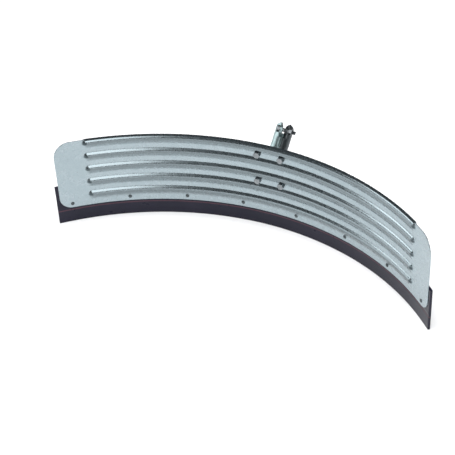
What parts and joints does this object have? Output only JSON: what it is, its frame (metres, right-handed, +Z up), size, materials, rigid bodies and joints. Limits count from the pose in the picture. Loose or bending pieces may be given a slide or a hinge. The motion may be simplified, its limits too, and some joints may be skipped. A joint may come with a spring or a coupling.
{
  "type": "curved squeegee head",
  "caption": "Curved floor squeegee head: a beaded galvanised plate bent to an arc, a riveted rubber blade behind its lower edge, and a leaning split clamp socket for a pole.",
  "frame": {"origin": "middle of the rubber blade's bottom edge, at mid length and mid thickness, on the floor the blade stands on", "axes": "+Z up, away from the floor; +X along the bow's chord, to the right when facing the concave side from behind the blade's working side; +Y out of the convex back, where the pole socket is"},
  "size_m": [0.835, 0.2653, 0.2199],
  "materials": {
    "galvanised_sheet": "satin zinc coating, faintly bluish, with fine spangle",
    "black_rubber": "matte black with mould bloom",
    "bracket_steel": "zinc-plated casting, satin",
    "zinc_fastener": "bright zinc plating",
    "strip_steel": "galvanised"
  },
  "bodies": {
    "head": {"back_plate": "galvanised_sheet", "rubber_blade": "black_rubber", "clamp_strip": "strip_steel", "handle_bracket": "bracket_steel", "clamp_bolt": "zinc_fastener", "clamp_head_washer": "zinc_fastener", "bracket_bolt_1": "zinc_fastener", "bracket_bolt_2": "zinc_fastener", "bracket_bolt_3": "zinc_fastener", "bracket_bolt_4": "zinc_fastener", "bracket_washer_1": "zinc_fastener", "bracket_washer_2": "zinc_fastener", "bracket_washer_3": "zinc_fastener", "bracket_washer_4": "zinc_fastener", "bracket_nut_1": "zinc_fastener", "bracket_nut_2": "zinc_fastener", "bracket_nut_3": "zinc_fastener", "bracket_nut_4": "zinc_fastener", "blade_rivet_1": "zinc_fastener", "blade_rivet_2": "zinc_fastener", "blade_rivet_3": "zinc_fastener", "blade_rivet_4": "zinc_fastener", "blade_rivet_5": "zinc_fastener", "blade_rivet_6": "zinc_fastener", "blade_rivet_7": "zinc_fastener", "blade_rivet_8": "zinc_fastener"},
    "washer": {"clamp_washer": "zinc_fastener"},
    "nut": {"clamp_nut": "zinc_fastener"}
  },
  "joints": [
    {"name": "nut_travel", "type": "slide", "parent": "head", "child": "washer", "axis": [0.9397, 0.2418, -0.2418], "range_m": [0, 0.0071]},
    {"name": "nut_turn", "type": "hinge", "parent": "washer", "child": "nut", "pos_m": [0.00821, 0.05056, 0.20536], "axis": [0.9397, 0.2418, -0.2418], "range_deg": [0, 1800]}
  ],
  "couplings": [
    {"joint": "nut_travel", "follows": "nut_turn", "m_per_rad": 0.00022459}
  ]
}
